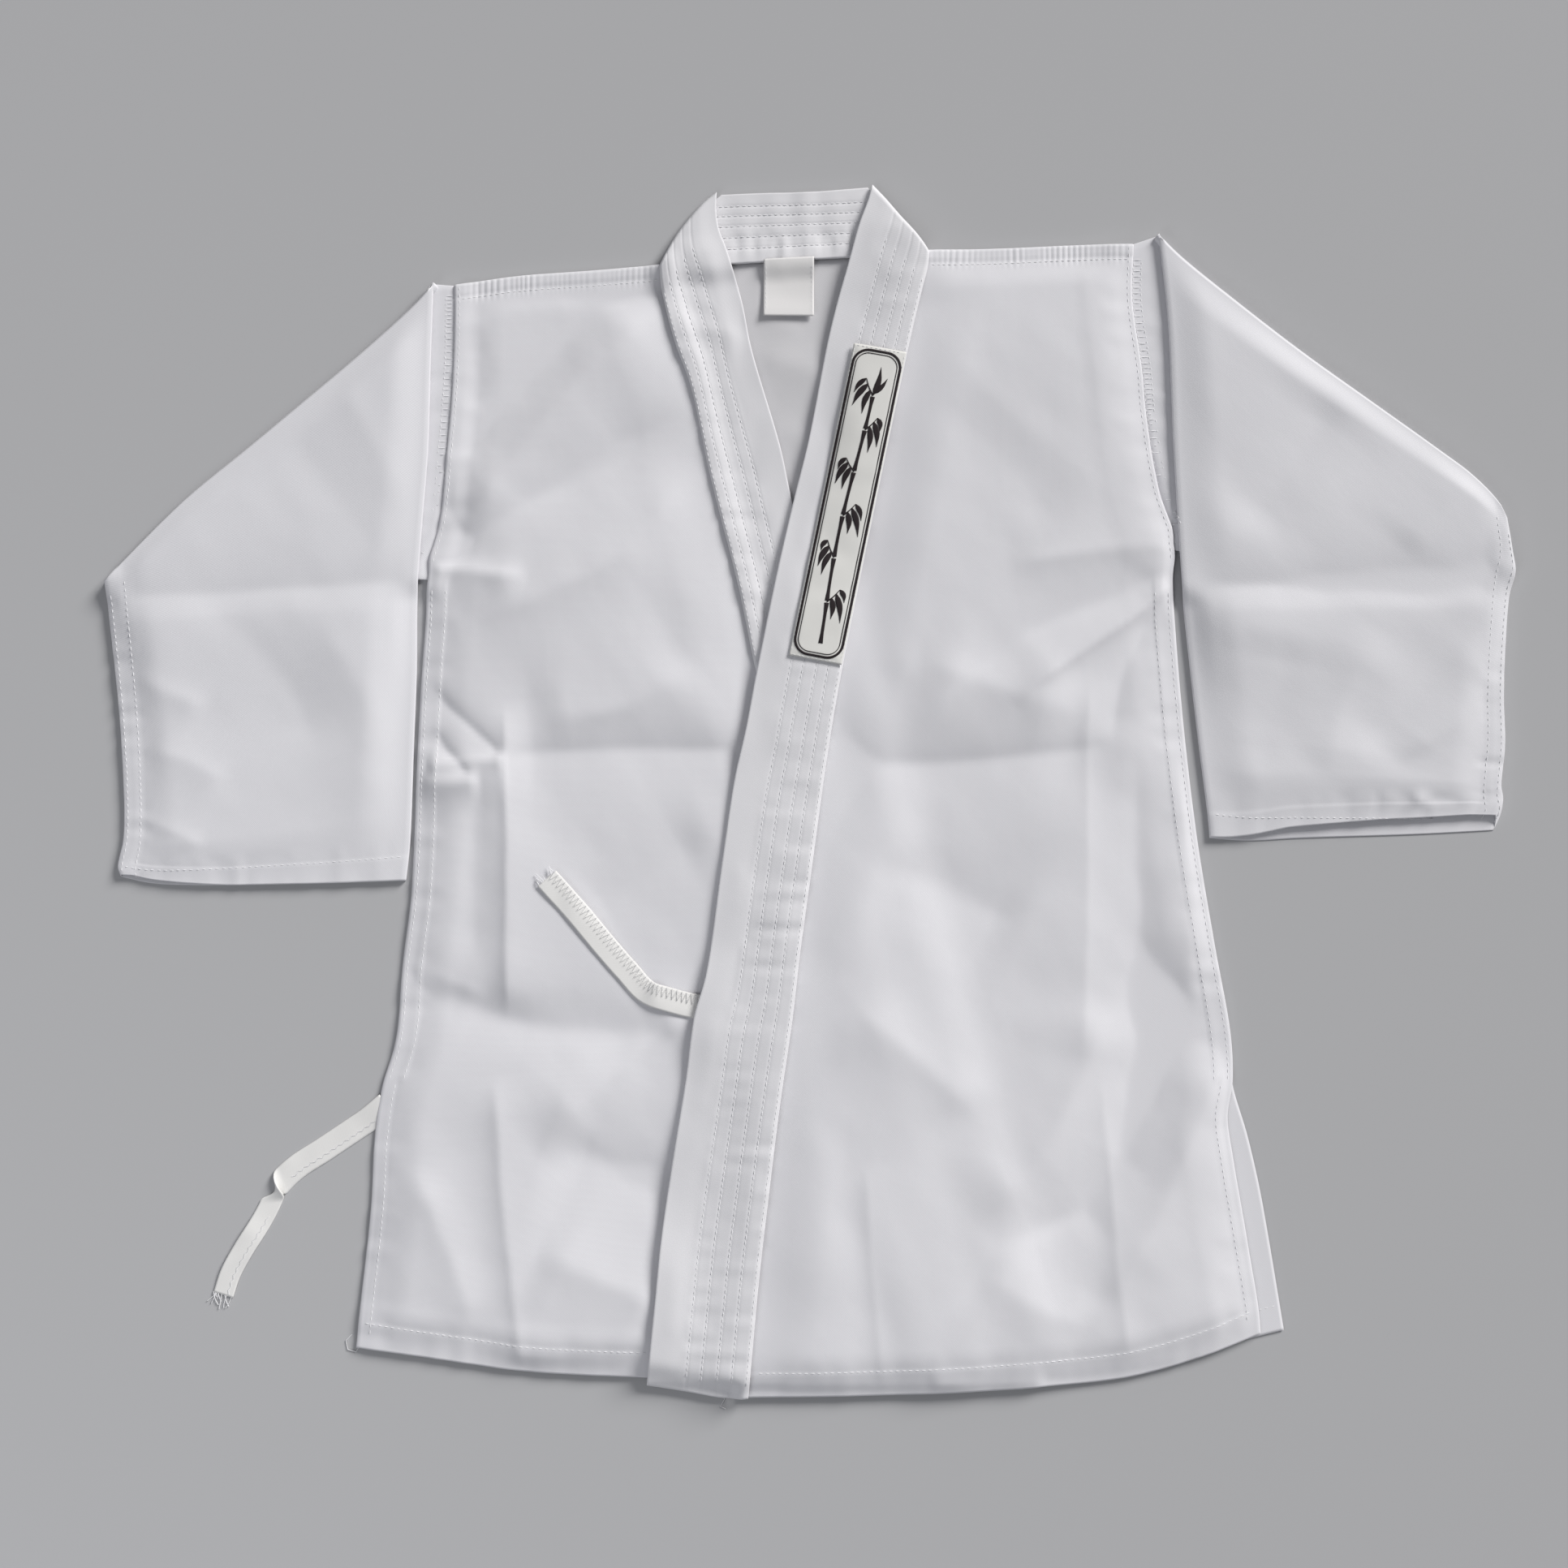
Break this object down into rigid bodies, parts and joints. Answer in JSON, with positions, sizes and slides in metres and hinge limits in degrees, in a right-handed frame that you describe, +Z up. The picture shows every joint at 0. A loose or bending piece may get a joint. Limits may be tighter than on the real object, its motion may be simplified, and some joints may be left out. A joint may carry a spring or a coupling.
{
  "type": "karate gi jacket",
  "caption": "Child's wrap-front karate jacket laid flat, sleeves folded forward, with a wide lapel band, side vents and tie tapes.",
  "frame": {"origin": "on the surface the jacket lies on, under the middle of its plan outline", "axes": "+X towards the wearer's left sleeve, +Y up the garment towards the collar, +Z up from the surface"},
  "size_m": [0.6946, 0.5974, 0.0085],
  "materials": {
    "jacket_cotton": "white cotton twill, matt",
    "band_cotton": "white cotton twill, doubled and stitched in rows",
    "patch_cloth": "cream woven patch with a dark plain frame and motif",
    "label_cloth": "plain off-white woven label",
    "tie_tape": "cream-white cotton tape, overlocked edge"
  },
  "bodies": {
    "root": {"back_panel": "jacket_cotton", "right_front": "jacket_cotton", "left_front": "jacket_cotton", "right_sleeve": "jacket_cotton", "left_sleeve": "jacket_cotton", "collar_back": "band_cotton", "right_lapel": "band_cotton", "left_lapel": "band_cotton", "chest_patch": "patch_cloth", "neck_label": "label_cloth", "front_tie": "tie_tape", "side_tie": "tie_tape"}
  },
  "joints": []
}
